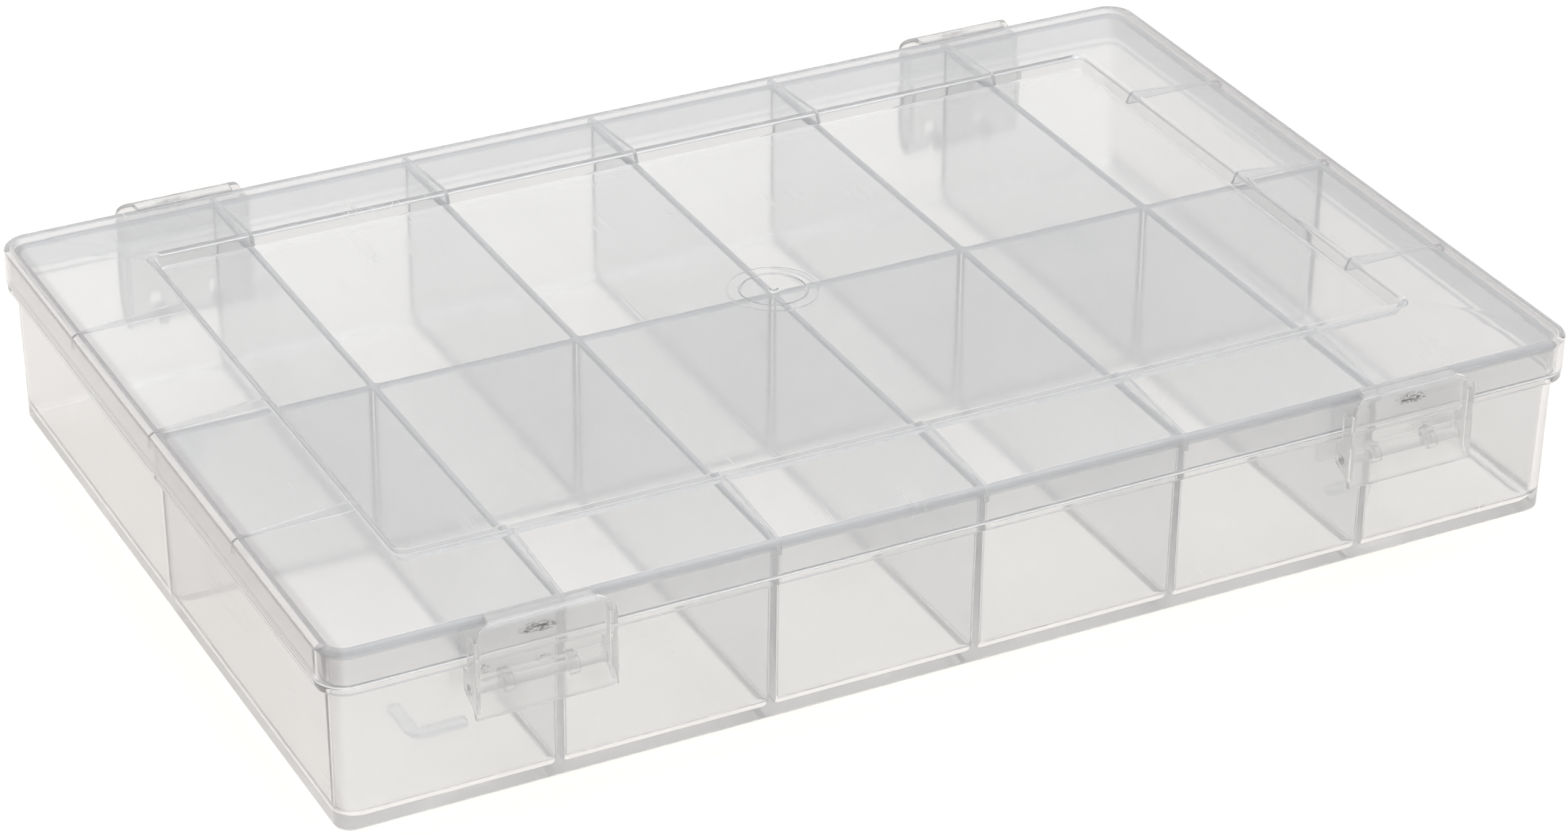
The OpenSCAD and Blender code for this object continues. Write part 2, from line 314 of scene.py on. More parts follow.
def soften(piece, width, segments=2):
    """Rounds a piece's hard edges."""
    modifier = piece.modifiers.new("soft edges", "BEVEL")
    modifier.width = width
    modifier.segments = segments
    modifier.limit_method = "ANGLE"
    modifier.angle_limit = np.radians(35)
    modifier.use_clamp_overlap = True
    modifier.harden_normals = False


# ---------------------------------------------------------------- shader maths


class Value:
    """A node's output, so that shader maths reads as plain sums."""

    def __init__(self, shader, socket):
        self.shader, self.socket = shader, socket

    def math(self, operation, *values):
        """A Math node on sockets or numbers."""
        return self.shader.node("ShaderNodeMath", {"operation": operation},
                                dict(enumerate(values)))["Value"]

    def __add__(self, other):
        return self.math("ADD", self, other)

    def __sub__(self, other):
        return self.math("SUBTRACT", self, other)

    def __rsub__(self, other):
        return self.math("SUBTRACT", other, self)

    def __mul__(self, other):
        return self.math("MULTIPLY", self, other)

    def __truediv__(self, other):
        return self.math("DIVIDE", self, other)

    def __abs__(self):
        return self.math("ABSOLUTE", self)

    def most(self, other):
        """The greater of two values."""
        return self.math("MAXIMUM", self, other)

    def ramp(self, low, high):
        """0 below low and 1 above high, with a smooth step between."""
        return self.shader.node("ShaderNodeMapRange", {"interpolation_type": "SMOOTHSTEP"},
                                {"Value": self, "From Min": low, "From Max": high})["Result"]

    __radd__, __rmul__ = __add__, __mul__


class Node:
    """A node whose outputs are read by name, or by number where names repeat."""

    def __init__(self, shader, node):
        self.shader, self.node = shader, node

    def __getitem__(self, name):
        return Value(self.shader, self.node.outputs[name])


class Shader:
    """A material's node tree."""

    def __init__(self, name):
        self.material = bpy.data.materials.new(name)
        self.material.use_nodes = True
        self.tree = self.material.node_tree
        self.tree.nodes.clear()

    def node(self, kind, settings=None, inputs=None):
        """One node: its settings first, then its inputs as numbers, colours or links."""
        node = self.tree.nodes.new(kind)
        for name, value in (settings or {}).items():
            setattr(node, name, value)
        for name, value in (inputs or {}).items():
            if isinstance(value, Value):
                self.tree.links.new(value.socket, node.inputs[name])
            else:
                node.inputs[name].default_value = value
        return Node(self, node)

    def place(self, offset=(0, 0, 0), stretch=(1, 1, 1), turn=(0, 0, 0)):
        """Object coordinates in metres, moved, turned and stretched."""
        source = self.node("ShaderNodeTexCoord")["Object"]
        return self.node("ShaderNodeMapping", {}, {
            "Vector": source, "Location": offset, "Rotation": turn, "Scale": stretch})["Vector"]

    def noise(self, scale, detail=2.0, roughness=0.5, **where):
        """Soft noise from 0 to 1, with scale waves to a metre."""
        return self.node("ShaderNodeTexNoise", {}, {
            "Vector": self.place(**where), "Scale": scale, "Detail": detail,
            "Roughness": roughness})["Fac"]

    def mix(self, mask, first, second):
        """A colour between two others."""
        return self.node("ShaderNodeMix", {"data_type": "RGBA"},
                         {0: mask, 6: first, 7: second})[2]

    def finish(self, principled, tint):
        """Lamps shine through the plastic with its tint, and everything else sees the plastic."""
        lamps = self.node("ShaderNodeBsdfTransparent", {}, {"Color": (*tint, 1)})["BSDF"]
        path = self.node("ShaderNodeLightPath")["Is Shadow Ray"]
        both = self.node("ShaderNodeMixShader", {}, {0: path, 1: principled, 2: lamps})["Shader"]
        self.node("ShaderNodeOutputMaterial", {}, {"Surface": both})
        return self.material


def scratches(shader):
    """A few hairline scratches: two turned, stretched noises, each thinned to its crest."""
    thinness = 90

    def set_of(turn, scale):
        crest = shader.noise(scale, detail=1.0, turn=(0, 0, turn), stretch=(1, 0.02, 1)) - 0.5
        line = 1 - abs(crest * thinness).ramp(0.0, 1.0)
        patch = shader.noise(28.0, detail=1.0, offset=(turn, 0, 0)).ramp(0.58, 0.7)
        return line * patch

    return set_of(0.5, 130.0).most(set_of(-0.9, 90.0))


def clear_plastic(name, look, haze, cloud_seed, low, high):
    """Clear moulded plastic: faint clouds of haze, soft flow ripples and hairline scratches.

    Painted shade darkens the end walls; what lies under low or over high is matt and has a bluish
    colour painted for light along the rims.
    """
    shader = Shader(name)
    clouds = shader.noise(22.0, detail=3.0, offset=(cloud_seed, 0, 0)).ramp(0.3, 0.75)
    marks = scratches(shader)
    split = shader.node("ShaderNodeSeparateXYZ", {}, {"Vector": shader.place()})
    x, z = split["X"], split["Z"]
    # painted shade: a mask over the last few millimetres at each end, where the darker side colour
    # is painted
    end = abs(x).ramp(HALF_L - 5.5 * MM, HALF_L - 3.5 * MM)
    # rims and feet: the added roughness makes them matt, and their bluish edge colour is painted
    # light running along the plastic
    blur = 0.15 * MM
    edge = z.ramp(high - blur, high + blur).most(1 - z.ramp(low - blur, low + blur))
    pale = (*look.clear, 1)
    dull = (*(np.array(look.clear) * 0.985), 1)
    ripple = shader.noise(60.0, detail=1.5, offset=(0, cloud_seed, 0), stretch=(1, 1, 0.5))
    bump = shader.node("ShaderNodeBump", {}, {
        "Strength": 0.12, "Distance": 0.2 * MM, "Height": ripple - marks * 0.15})["Normal"]
    plastic = shader.node("ShaderNodeBsdfPrincipled", {}, {
        "Base Color": shader.mix(edge, shader.mix(end, shader.mix(clouds, pale, dull),
                                                  (*look.side, 1)), (*look.edge, 1)),
        "Roughness": clouds * 0.03 + look.gloss + marks * 0.2 + edge * 0.5,
        "IOR": 1.49,
        "Transmission Weight": 1 - haze,
        "Normal": bump})["BSDF"]
    return shader.finish(plastic, (0.955, 0.949, 0.942))


def frosted_plastic(name, look, centres):
    """The clips' plastic: cloudier and rougher, with dirt rubbed into the top of each face."""
    shader = Shader(name)
    clouds = shader.noise(120.0, detail=3.0).ramp(0.3, 0.7)
    dirt = shader.noise(1500.0, detail=5.0, roughness=0.7, stretch=(0.6, 1, 1.6))
    split = shader.node("ShaderNodeSeparateXYZ", {}, {"Vector": shader.place()})
    spots = 0.0
    for x, z, width, height, level in centres:
        across = (split["X"] - x) / width
        up = (split["Z"] - z) / height
        near = 1 - (across * across + up * up)
        spots = (near.ramp(0.0, 0.9) * dirt.ramp(level, level + 0.05)).most(spots)
    clean = shader.mix(clouds, (*look.frosted, 1), (*(np.array(look.frosted) * 0.96), 1))
    bump = shader.node("ShaderNodeBump", {}, {
        "Strength": 0.25, "Distance": 0.15 * MM,
        "Height": shader.noise(260.0, detail=2.0) + spots * 0.3})["Normal"]
    plastic = shader.node("ShaderNodeBsdfPrincipled", {}, {
        "Base Color": shader.mix(spots, clean, (*look.scuff, 1)),
        "Roughness": clouds * 0.06 + 0.08,
        "IOR": 1.49,
        "Transmission Weight": 1 - look.frosted_haze,
        "Normal": bump})["BSDF"]
    return shader.finish(plastic, (0.98, 0.98, 0.98))


# ---------------------------------------------------------------- tray


def wall_inset(z):
    """How far the tray's outer wall lies in from the lid's outside: it leans out to the rim."""
    base_z, base, rim = 1.5 * MM, 3.1 * MM, 2.4 * MM
    return base - (base - rim) * (z - base_z) / (RIM_Z - base_z)


def corner_radius(inset, sizes):
    """Radius of a wall's corner at an inset, on centres that all the outer walls share."""
    least = 1.6 * MM
    return np.maximum(sizes.corner - inset, least)


def sunk(height, radius):
    """How far a floor fillet stands off its wall at a height over the floor."""
    left = np.clip(radius - height, 0, radius)
    return radius - np.sqrt(np.maximum(radius ** 2 - left ** 2, 0))


def pitch(sizes):
    """Distance from one divider to the next."""
    inner = 2 * (HALF_L - wall_inset(sizes.foot) - sizes.wall)
    return (inner + sizes.divider) / COLUMNS


def pocket_loops(column, row, sizes):
    """A compartment's loops from its rounded rim down to its floor.

    Outer walls lean with the tray and meet the floor in a wide fillet. Divider walls thin
    towards the rim and meet the floor in a narrow one.
    """
    floor_z = sizes.foot + sizes.floor
    wide, narrow, lip = 4.0 * MM, 1.4 * MM, 0.3 * MM
    angle = np.linspace(0, np.pi / 2, 10)
    heights = np.r_[RIM_Z, RIM_Z - lip * (1 - np.cos(angle[3:7])), RIM_Z - lip,
                    floor_z + wide * (1 - np.sin(angle))]
    over = np.clip(heights - (RIM_Z - lip), 0, lip)
    flare = lip - np.sqrt(lip ** 2 - over ** 2)
    up = heights - floor_z
    wall = wall_inset(heights) + sizes.wall + sunk(up, wide) - flare
    foot_share, taper = 1.1, 0.2
    thin = sizes.divider * (foot_share - taper * up / (RIM_Z - floor_z)) / 2
    side = thin + sunk(up, narrow) - flare
    left = (column - COLUMNS / 2) * pitch(sizes)
    right = left + pitch(sizes)
    x0 = wall - HALF_L if column == 0 else left + side
    x1 = HALF_L - wall if column == COLUMNS - 1 else right - side
    y0, y1 = (wall - HALF_W, -side) if row == 0 else (side, HALF_W - wall)
    small, shell = 1.2 * MM, corner_radius(wall_inset(RIM_Z) + sizes.wall, sizes)
    outer = [(COLUMNS - 1, 1), (0, 1), (0, 0), (COLUMNS - 1, 0)]
    radii = np.array([shell if (column, row) == place else small for place in outer])
    return np.stack([rounded_box((a, b), (c, d), radii + f, z)
                     for a, b, c, d, z, f in zip(x0, x1, y0, y1, heights, flare)])


def foot_outline(sx, sy):
    """An L with a wide bend at the corner that sx and sy point to, as points in X and Y."""
    inset, arm, width = 32.3 * MM, 14.5 * MM, 3.0 * MM
    shape = np.array([(0, 0), (arm, 0), (arm, width), (width, width), (width, arm), (0, arm)])
    line = fillet(shape, np.array([3.6, 0.7, 0.7, 1.0, 0.7, 0.7]) * MM, 6)
    line = np.stack([sx * (HALF_L - inset - line[:, 0]), sy * (HALF_W - inset - line[:, 1])], 1)
    return line if sx * sy > 0 else line[::-1]


def build_tray(sizes, material):
    """The tray: an outer wall with a flange and feet, and twelve pockets under one rim."""
    shelf, flange = SKIRT_Z - 0.05 * MM, SKIRT_Z - 2.0 * MM  # the flange's upper and lower face
    flange_inset, rim_inset, base_inset = 0.25 * MM, 3.0 * MM, 6.0 * MM
    section = fillet(
        [(rim_inset, RIM_Z), (wall_inset(RIM_Z), RIM_Z), (wall_inset(SKIRT_Z), shelf),
         (flange_inset, shelf), (flange_inset, flange), (wall_inset(flange), flange),
         (wall_inset(sizes.foot), sizes.foot), (base_inset, sizes.foot)],
        np.array([0, 0.35, 0.4, 0.45, 0.45, 0.5, 1.3, 0]) * MM, 6, closed=False)
    loops = np.stack([inset_box(i, z, corner_radius(i, sizes)) for i, z in section])
    tray = Surface()
    tray.grid(loops)
    pockets = [pocket_loops(c, r, sizes) for c in range(COLUMNS) for r in (0, 1)]
    tray.plate(loops[0], [pocket[0] for pocket in pockets])
    for pocket in pockets:
        tray.grid(pocket)
        tray.cap(pocket[-1])
    feet = [foot_outline(sx, sy) for sx in (-1, 1) for sy in (-1, 1)]
    raised = [np.hstack([foot, np.full((len(foot), 1), sizes.foot)]) for foot in feet]
    tray.plate(loops[-1], raised)
    chamfer, taper = 0.25 * MM, 0.975
    for top in raised:
        middle = top.mean(0)
        low = top * (1, 1, 0) + (0, 0, chamfer)
        tip = (low - middle) * (taper, taper, 0) + middle * (1, 1, 0)
        tray.grid(np.stack([top, low, tip]))
        tray.cap(tip)
    piece = tray.piece("tray", "tray", "tray_plastic", material)
    flatten_normals(piece)
    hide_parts("tray_shell", *DIVIDERS)


def ear_outline(pivot_u, pivot_v, wall_u):
    """A C-shaped snap-in ear in (out, up): a ring round the pivot, open below, on a foot
    that reaches back to the wall."""
    outer, bore, mouth = 2.3 * MM, 1.36 * MM, 0.9 * MM
    ring = np.linspace(np.pi / 2, -np.arccos(mouth / outer), 14)
    hole = np.linspace(-np.arccos(mouth / bore), np.pi + np.arccos(mouth / bore), 22)
    points = np.concatenate([
        [(wall_u, outer)],
        np.stack([pivot_u + outer * np.cos(ring), outer * np.sin(ring)], 1),
        np.stack([pivot_u + bore * np.cos(hole), bore * np.sin(hole)], 1),
        [(pivot_u - mouth, -outer), (wall_u, -outer)]])
    return points + (0, pivot_v)


def at_clip(front):
    """A function from (across, out, up) to the frame, at the front or the rear wall."""
    side = -1 if front else 1

    def place(across, out, up):
        return np.stack(np.broadcast_arrays(across, side * (HALF_W + out), EDGE_Z + up), -1)

    return place


def pivot_of(joint):
    """A pivot's place as (out, up) from the lid's edge."""
    at = PIVOTS[joint]
    return abs(at[1]) - HALF_W, at[2] - EDGE_Z


def build_ears(material):
    """The ears that the clips' rods turn in, two for each clip."""
    sunk_in = 0.1 * MM  # how far an ear's foot reaches into the wall
    ears = Surface()
    for front, joint in ((True, "latch_left_pivot"), (False, "lid_hinge")):
        out, up = pivot_of(joint)
        wall = -wall_inset(EDGE_Z + up) - sunk_in
        outline = ear_outline(out, up, wall)
        for x in (-CLIP_X, CLIP_X):
            for middle in (x - EAR_X, x + EAR_X):
                ears.prism(outline, middle - EAR_T / 2, middle + EAR_T / 2, at_clip(front))
    piece = ears.piece("tray_ears", "tray", "tray_plastic", material)
    soften(piece, 0.15 * MM)


# ---------------------------------------------------------------- lid


def lid_corner(inset):
    """Radius of the lid's loops: concentric at the skirt, then nearly constant to the ridge."""
    return np.interp(inset, np.array([0, 5, 28, 34]) * MM, np.array([7.5, 2.5, 3.7, 1.6]) * MM)


def margin(inset, depth):
    """Height in the lid's margin at an inset, at a depth under its upper face."""
    return EDGE_Z - depth + (inset - 2 * MM) * MARGIN_SLOPE


def build_lid(sizes, material):
    """The lid: a recessed panel with a moulding-gate mark, a ridge, a sloping margin and a
    skirt, all one closed cross-section carried round a rounded rectangle."""
    panel_z = EDGE_Z - 0.75 * MM
    t = sizes.panel
    section = fillet(
        [(36 * MM, panel_z), (32.0 * MM, panel_z), (30.45 * MM, RIDGE_Z + 0.1 * MM),
         (0, margin(0, 0)), (0, SKIRT_Z), (sizes.wall, SKIRT_Z),
         (sizes.wall, margin(sizes.wall, t)), (29.3 * MM, margin(29.3 * MM, t)),
         (30.95 * MM, panel_z - t), (36 * MM, panel_z - t)],
        np.array([0, 0.7, 1.1, sizes.edge / MM, 0.35, 0.35, 1.2, 0.9, 0.5, 0]) * MM, 8,
        closed=False)
    loops = np.stack([inset_box(i, z, lid_corner(i)) for i, z in section])
    lid = Surface()
    lid.grid(loops)
    r, z = (np.array([(12.2, 0), (11.9, 0), (11.6, 0.14), (11.3, 0), (9.0, 0), (8.8, 0.02),
                      (8.6, 0.22), (8.3, 0.22), (8.1, 0.0), (7.9, -0.1), (2.0, -0.14),
                      (1.5, -0.06), (1.1, 0.1), (0.9, 0.35), (0.6, 0.42)]) * MM).T
    angle = np.linspace(0, 2 * np.pi, 65)[:-1]
    wobble = 1 + 0.1 * np.cos(3 * angle) * (r < 2 * MM)[:, None]
    mark = np.stack([r[:, None] * wobble * np.cos(angle), r[:, None] * wobble * np.sin(angle),
                     np.broadcast_to(panel_z + z[:, None], (len(r), 64))], -1)
    lid.grid(mark)
    lid.cap(mark[-1])
    lid.plate(loops[0], [mark[0]])
    lid.cap(loops[-1])
    piece = lid.piece("lid_moulding", "lid", "lid_plastic", material)
    flatten_normals(piece)
    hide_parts("lid")


def build_ribs(sizes, material):
    """Ribs under the lid's margin, in line with the dividers, each with a leg beside the rim."""
    buried = sizes.panel - 0.12 * MM
    low, leg = EDGE_Z - 1.6 * MM, EDGE_Z - 4.6 * MM
    outline = fillet(
        [(29.35 * MM, margin(29.35 * MM, buried)), (30.7 * MM, low), (2.1 * MM, low),
         (2.1 * MM, leg), (1.38 * MM, leg),
         (1.38 * MM, margin(1.0 * MM, buried) - 0.8 * MM), (2.3 * MM, margin(2.3 * MM, buried))],
        np.array([0, 0, 0.6, 0.2, 0, 0, 0]) * MM, 4)
    ribs = Surface()

    def across_width(side):
        return lambda x, inset, z: np.stack(np.broadcast_arrays(x, side * (HALF_W - inset), z), -1)

    def across_length(side):
        return lambda y, inset, z: np.stack(np.broadcast_arrays(side * (HALF_L - inset), y, z), -1)

    for count, place in ((COLUMNS - 1, across_width), (3, across_length)):
        for i in np.arange(count) - (count - 1) / 2:
            for side in (-1, 1):
                middle = i * pitch(sizes)
                ribs.prism(outline, middle - sizes.rib / 2, middle + sizes.rib / 2, place(side))
    piece = ribs.piece("lid_ribs", "lid", "lid_plastic", material)
    soften(piece, 0.18 * MM)


# ---------------------------------------------------------------- clips


def shown_width(up, hook_w):
    """Half a clip's width at a height: its upper corners are quarter circles beside the hook."""
    corner = (CLIP_W - hook_w) / 2
    over = np.clip(up - (CLIP_TOP - corner), 0, corner)
    return hook_w / 2 + np.sqrt(np.maximum(corner ** 2 - over ** 2, 0))


def clip_plate(clip, outer, inner, spans, place):
    """A clip's plate: a cross-section of paired outer and inner points carried along X.

    across = share of the half width at the outer point's height, so both faces and the rims
    between them are grids over the cross-section and the share.
    """
    hook_w = 26 * MM
    half = shown_width(outer[:, 1], hook_w)
    for low, high in spans:
        share_across = np.linspace(low, high, 25)
        across = share_across[:, None] * half[None]
        ring = np.concatenate([outer, inner[::-1]])
        widths = np.concatenate([across, across[:, ::-1]], 1)
        points = place(widths, ring[None, :, 0], ring[None, :, 1])
        clip.grid(points)
        n = len(outer)
        for end in (points[0], points[-1]):
            clip.grid(np.stack([end[:n], end[:n - 1:-1]]), around=False)


def clip_top(clip_t):
    """Paired outer and inner points (out, up) from a hook's tip over the rounded top."""
    radius, reach = 2.6 * MM, 1.0 * MM
    centre = np.array([CLIP_D - radius, CLIP_TOP - radius])
    angle = np.linspace(np.pi / 2, 0, 15)
    ray = np.stack([np.cos(angle), np.sin(angle)], 1)
    lead = np.array([-reach, -reach / 2, 0.14 * MM])
    under = np.array([0.04, -0.46, -1.1]) * MM
    outer = np.concatenate([np.stack([lead, np.full(3, CLIP_TOP)], 1), centre + radius * ray])
    inner = np.concatenate([np.stack([lead, under], 1), centre + (radius - clip_t) * ray])
    return outer, inner


def grip(up):
    """Depth of the shallow grip band across a clip's face, with soft steps at both edges."""
    top, bottom, depth, step = -7.9 * MM, -12.2 * MM, 0.28 * MM, 0.35 * MM
    inside_band = np.clip((up - bottom) / step, 0, 1) * np.clip((top - up) / step, 0, 1)
    return depth * inside_band


def face_levels(low):
    """Heights down a clip's face, closer together where the grip band steps in and out."""
    return np.concatenate([np.linspace(-4.6, -7.6, 5), np.linspace(-7.85, -8.35, 6),
                           np.linspace(-9.2, -11.2, 3), np.linspace(-11.7, -12.3, 6), low]) * MM


def finish_clip(clip, name, body, node, material):
    """Merges a clip's overlapping shapes into one skin and softens its edges as moulding does."""
    piece = clip.piece(name, body, "clip_plastic", material, sharp=180.0)
    merge = piece.modifiers.new("one skin", "REMESH")
    merge.mode = "VOXEL"
    merge.voxel_size = 0.2 * MM
    merge.use_smooth_shade = True
    smooth = piece.modifiers.new("moulded edges", "SMOOTH")
    smooth.factor = 0.5
    smooth.iterations = 2
    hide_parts(node)


def rod(clip, x, half, out, up, radius, place):
    """A round rod along X."""
    angle = np.linspace(0, 2 * np.pi, 33)[:-1]
    ring = np.stack([out + radius * np.cos(angle), up + radius * np.sin(angle)], 1)
    clip.prism(ring, x - half, x + half, place)


def clip_at(x, front):
    """The frame's place of a clip whose middle is at x."""
    place = at_clip(front)
    return lambda across, out, up: place(across + x, out, up)


def build_latch(x, name, sizes, material):
    """A front latch: a hooked plate with a grip band, side plates and a rod between them."""
    place, t = clip_at(x, True), sizes.clip
    out, up = pivot_of(name + "_pivot")
    lip = -23.4 * MM
    outer, inner = clip_top(t)
    face = face_levels(np.r_[np.linspace(-13, -22.6, 10), lip / MM])
    outer = np.concatenate([outer, np.stack([CLIP_D - grip(face), face], 1)])
    inner = np.concatenate([inner, np.stack([np.full(len(face), CLIP_D - t), face], 1)])
    latch = Surface()
    clip_plate(latch, outer, inner, [(-1, 1)], place)
    wall = -wall_inset(EDGE_Z + CLIP_SHELF) + CLIP_GAP
    side = fillet(
        [(CLIP_D - 0.5 * MM, CLIP_BEND), (CLIP_D - 0.5 * MM, -22.6 * MM), (1.8 * MM, -21.0 * MM),
         (wall + 0.25 * MM, -18.7 * MM), (wall, CLIP_SHELF), (0.35 * MM, CLIP_SHELF),
         (0.35 * MM, CLIP_BEND)],
        np.array([0, 0, 1.0, 0.5, 0.3, 0.3, 0.3]) * MM, 4)
    for edge in (-1, 1):
        middle = edge * (CLIP_W - t) / 2
        latch.prism(side, middle - t / 2 + NUDGE, middle + t / 2 - NUDGE, place)
    rod(latch, 0, (CLIP_W - t) / 2, out, up, sizes.rod, place)
    finish_clip(latch, name + "_moulding", name, name, material)


def build_hinge_clip(x, name, sizes, material):
    """A rear clip: its face leans in towards the wall and ends in a barrel round the rod,
    slotted for the tray's ears."""
    place, t = clip_at(x, False), sizes.clip
    out, up = pivot_of("lid_hinge")
    eye, straight = 2.9 * MM, -17.4 * MM
    outer, inner = clip_top(t)
    face = face_levels(np.linspace(-13, straight / MM, 5))
    lean = np.linspace(0, np.pi / 2, 13)[1:]
    lean_out = out + eye + (CLIP_D - out - eye) * np.cos(lean)
    lean_up = straight + (up - straight) * np.sin(lean)
    slot_top = up + 3.2 * MM
    plain = lean_up > slot_top
    upper_out = np.r_[CLIP_D - grip(face), lean_out[plain]]
    upper_up = np.r_[face, lean_up[plain]]
    upper = np.stack([upper_out, upper_up], 1)
    back = np.stack([np.r_[np.full(len(face), CLIP_D - t), lean_out[plain] - t], upper_up], 1)
    clip = Surface()
    clip_plate(clip, np.concatenate([outer, upper]), np.concatenate([inner, back]), [(-1, 1)],
               place)
    turn = np.linspace(0, -np.pi / 2, 7)[1:]
    low_outer = np.concatenate([
        np.stack([lean_out[~plain], lean_up[~plain]], 1),
        np.stack([out + eye * np.cos(turn), up + eye * np.sin(turn)], 1)])
    low_inner = np.concatenate([
        np.stack([lean_out[~plain] - t, lean_up[~plain]], 1),
        np.stack([out + (eye - t) * np.cos(turn), up + (eye - t) * np.sin(turn)], 1)])
    join = upper[-2:].mean(0, keepdims=True), back[-2:].mean(0, keepdims=True)
    half = CLIP_W / 2
    slot_gap = EAR_T / 2 + 0.4 * MM
    near, far = (EAR_X - slot_gap) / half, (EAR_X + slot_gap) / half
    slots = [(-1, -far), (-near, near), (far, 1)]
    clip_plate(clip, np.concatenate([join[0], low_outer]), np.concatenate([join[1], low_inner]),
               slots, place)
    wall = -wall_inset(EDGE_Z + CLIP_SHELF) + CLIP_GAP
    ring = np.linspace(0, -np.pi, 13)
    side = np.concatenate([
        [(CLIP_D - 0.3 * MM, CLIP_BEND)],
        np.stack([lean_out, lean_up], 1) - (0.3 * MM, 0),
        np.stack([out + eye * np.cos(ring), up + eye * np.sin(ring)], 1)[1:],
        [(wall, CLIP_SHELF), (0.2 * MM, CLIP_SHELF), (0.2 * MM, -9.7 * MM),
         (0.05 * MM, -9.7 * MM), (0.05 * MM, CLIP_BEND)]])
    for edge in (-1, 1):
        middle = edge * (CLIP_W - t) / 2
        clip.prism(side, middle - t / 2 + NUDGE, middle + t / 2 - NUDGE, place)
    rod(clip, 0, (CLIP_W - t) / 2, out, up, sizes.rod, place)
    finish_clip(clip, name + "_moulding", "lid", name, material)


# ---------------------------------------------------------------- operators


class TACKLEBOX_OT_tray(bpy.types.Operator):
    """Makes the divided tray and the ears on its walls"""

    bl_idname = "tackle_box.tray"
    bl_label = "Tray"

    def execute(self, context):
        sizes, look = context.scene.tackle_box_sizes, context.scene.tackle_box_plastic
        material = clear_plastic("tray clear plastic", look, look.clear_haze, 3.0,
                                 sizes.foot - 0.3 * MM, RIM_Z - 1.1 * MM)
        build_tray(sizes, material)
        build_ears(material)
        return {"FINISHED"}


class TACKLEBOX_OT_lid(bpy.types.Operator):
    """Makes the lid and the ribs under its margin"""

    bl_idname = "tackle_box.lid"
    bl_label = "Lid"

    def execute(self, context):
        sizes, look = context.scene.tackle_box_sizes, context.scene.tackle_box_plastic
        material = clear_plastic("lid clear plastic", look, look.clear_haze * 0.8, 7.0,
                                 SKIRT_Z + 0.2 * MM, RIDGE_Z + 1.0 * MM)
        build_lid(sizes, material)
        build_ribs(sizes, material)
        return {"FINISHED"}


class TACKLEBOX_OT_clips(bpy.types.Operator):
    """Makes the two front latches and the two rear hinge clips"""

    bl_idname = "tackle_box.clips"
    bl_label = "Clips"

    def execute(self, context):
        sizes, look = context.scene.tackle_box_sizes, context.scene.tackle_box_plastic
        marks = [(-CLIP_X - 2 * MM, EDGE_Z - 3.0 * MM, 5.5 * MM, 1.3 * MM, 0.48),
                 (CLIP_X - 1 * MM, EDGE_Z - 2.4 * MM, 5.5 * MM, 1.2 * MM, 0.49),
                 (-CLIP_X - 1 * MM, EDGE_Z - 11 * MM, 3 * MM, 1.2 * MM, 0.56),
                 (CLIP_X + 2 * MM, EDGE_Z - 10.5 * MM, 5 * MM, 1.6 * MM, 0.58),
                 (-CLIP_X - 15 * MM, EDGE_Z - 11 * MM, 1.5 * MM, 3.0 * MM, 0.56)]
        material = frosted_plastic("clip frosted plastic", look, marks)
        for side, x in (("left", -CLIP_X), ("right", CLIP_X)):
            build_latch(x, "latch_" + side, sizes, material)
            build_hinge_clip(x, "hinge_clip_" + side, sizes, material)
        return {"FINISHED"}


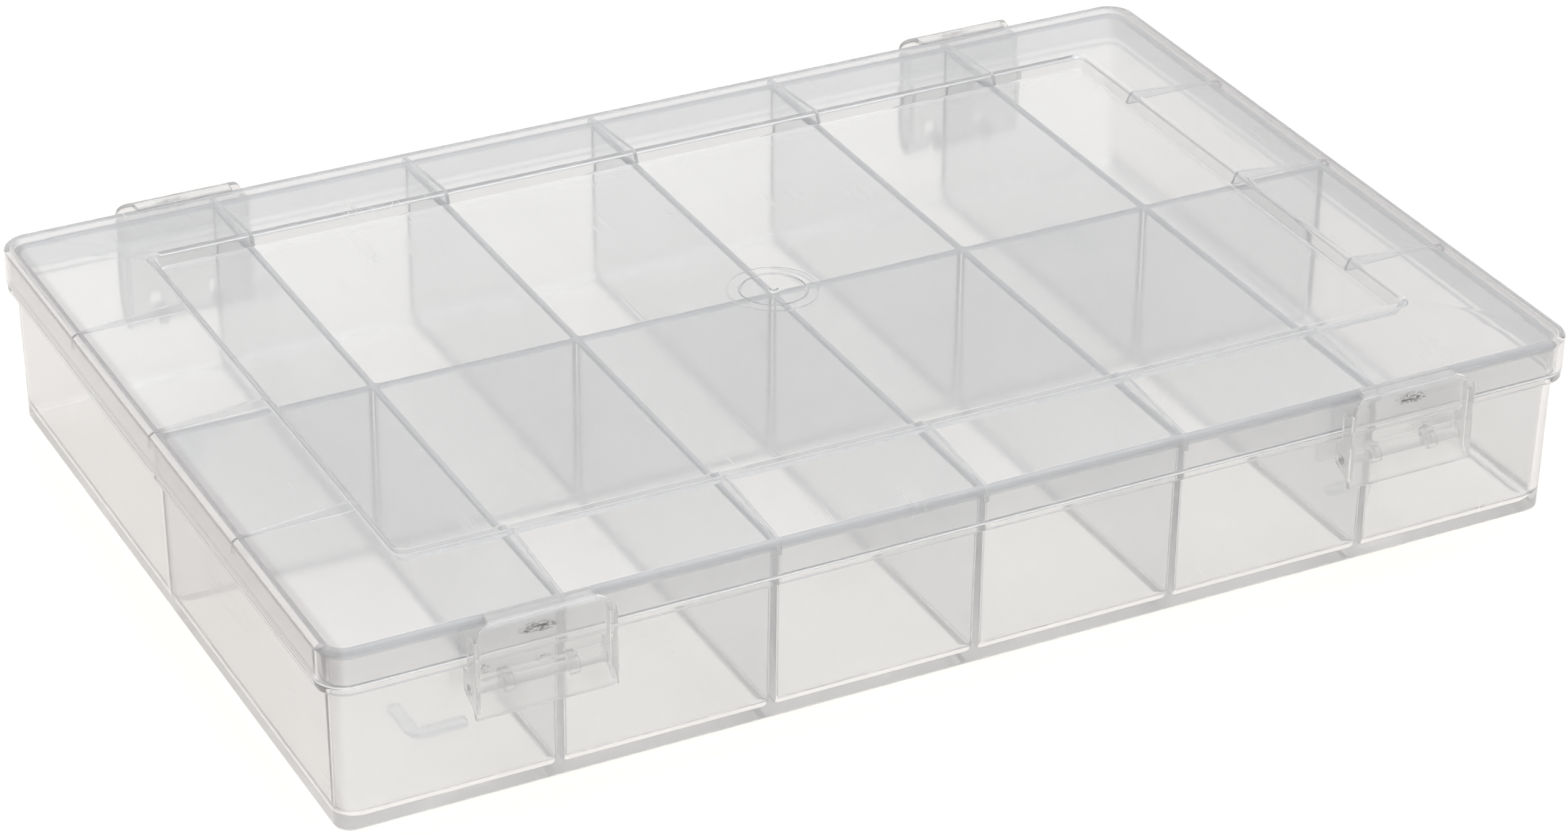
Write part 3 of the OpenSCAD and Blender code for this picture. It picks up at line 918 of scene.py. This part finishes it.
class TACKLEBOX_OT_studio(bpy.types.Operator):
    """Makes the floor, the soft light and the camera"""

    bl_idname = "tackle_box.studio"
    bl_label = "Studio"

    def execute(self, context):
        studio = context.scene.tackle_box_studio
        self.floor(studio)
        self.light(context, studio)
        self.camera(context, studio)
        return {"FINISHED"}

    def floor(self, studio):
        """A wide pale sheet just under the feet."""
        half, drop = 6.0, 0.1 * MM
        corners = np.array([(-1, -1, 0), (1, -1, 0), (1, 1, 0), (-1, 1, 0)]) * half
        mesh = bpy.data.meshes.new("floor")
        mesh.from_pydata((corners - (0, 0, drop)).tolist(), [], [(0, 1, 2, 3)])
        shader = Shader("floor paper")
        grain = shader.noise(900.0, detail=2.0) * 0.02 + 0.5
        surface = shader.node("ShaderNodeBsdfPrincipled", {}, {
            "Base Color": (*studio.floor, 1), "Roughness": grain + 0.2,
            "Specular IOR Level": 0.1})["BSDF"]
        shader.node("ShaderNodeOutputMaterial", {}, {"Surface": surface})
        mesh.materials.append(shader.material)
        floor = bpy.data.objects.new("floor", mesh)
        bpy.context.scene.collection.objects.link(floor)

    def light(self, context, studio):
        """An even white surround and one large softbox overhead, behind the box."""
        world = bpy.data.worlds.new("white surround")
        world.use_nodes = True
        background = world.node_tree.nodes["Background"]
        background.inputs["Color"].default_value = (1, 1, 1, 1)
        background.inputs["Strength"].default_value = studio.surround
        context.scene.world = world
        lamp = bpy.data.lights.new("softbox", "AREA")
        lamp.shape, lamp.size, lamp.energy = "SQUARE", 3.0, studio.softbox
        softbox = bpy.data.objects.new("softbox", lamp)
        softbox.location = (-0.2, 0.2, 2.2)
        context.scene.collection.objects.link(softbox)
        context.scene.view_settings.view_transform = "Standard"
        cycles = context.scene.cycles
        cycles.max_bounces = 32
        cycles.glossy_bounces = 32
        cycles.diffuse_bounces = 12
        cycles.transmission_bounces = 32
        cycles.transparent_max_bounces = 48

    def camera(self, context, studio):
        """A camera from its place, its azimuth and elevation, and its roll."""
        a, e, r = studio.azimuth, studio.elevation, studio.roll
        ahead = np.array([-np.sin(a) * np.cos(e), np.cos(a) * np.cos(e), -np.sin(e)])
        right = np.cross(ahead, (0, 0, 1))
        right /= np.linalg.norm(right)
        up = np.cross(right, ahead)
        turned = np.cos(r) * right + np.sin(r) * up, -np.sin(r) * right + np.cos(r) * up
        matrix = Matrix.Identity(4)
        for column, axis in enumerate((*turned, -ahead, np.array(studio.place))):
            for row in range(3):
                matrix[row][column] = axis[row]
        data = bpy.data.cameras.new("camera")
        data.sensor_width, data.lens = 36.0, studio.lens
        data.clip_start, data.clip_end = 0.01, 50.0
        camera = bpy.data.objects.new("camera", data)
        camera.matrix_world = matrix
        context.scene.collection.objects.link(camera)
        context.scene.camera = camera


OPERATORS = (TACKLEBOX_OT_tray, TACKLEBOX_OT_lid, TACKLEBOX_OT_clips, TACKLEBOX_OT_studio)


class TACKLEBOX_PT_panel(bpy.types.Panel):
    """The tackle box's pieces"""

    bl_idname = "TACKLEBOX_PT_panel"
    bl_label = "Tackle box"
    bl_space_type = "VIEW_3D"
    bl_region_type = "UI"
    bl_category = "Tackle box"

    def draw(self, context):
        for operator in OPERATORS:
            self.layout.operator(operator.bl_idname)
        for group in ("tackle_box_sizes", "tackle_box_plastic", "tackle_box_studio"):
            settings = getattr(context.scene, group)
            box = self.layout.box()
            for name in settings.__annotations__:
                box.prop(settings, name)


GROUPS = {"tackle_box_sizes": TackleBoxSizes, "tackle_box_plastic": TackleBoxPlastic,
          "tackle_box_studio": TackleBoxStudio}


def register():
    for cls in (*GROUPS.values(), *OPERATORS, TACKLEBOX_PT_panel):
        bpy.utils.register_class(cls)
    for name, group in GROUPS.items():
        setattr(bpy.types.Scene, name, PointerProperty(type=group))


def unregister():
    for name in GROUPS:
        delattr(bpy.types.Scene, name)
    for cls in reversed((*GROUPS.values(), *OPERATORS, TACKLEBOX_PT_panel)):
        bpy.utils.unregister_class(cls)


def main():
    register()
    bpy.ops.tackle_box.studio()
    bpy.ops.tackle_box.tray()
    bpy.ops.tackle_box.lid()
    bpy.ops.tackle_box.clips()
    bpy.context.view_layer.update()


if __name__ == "__main__":
    main()
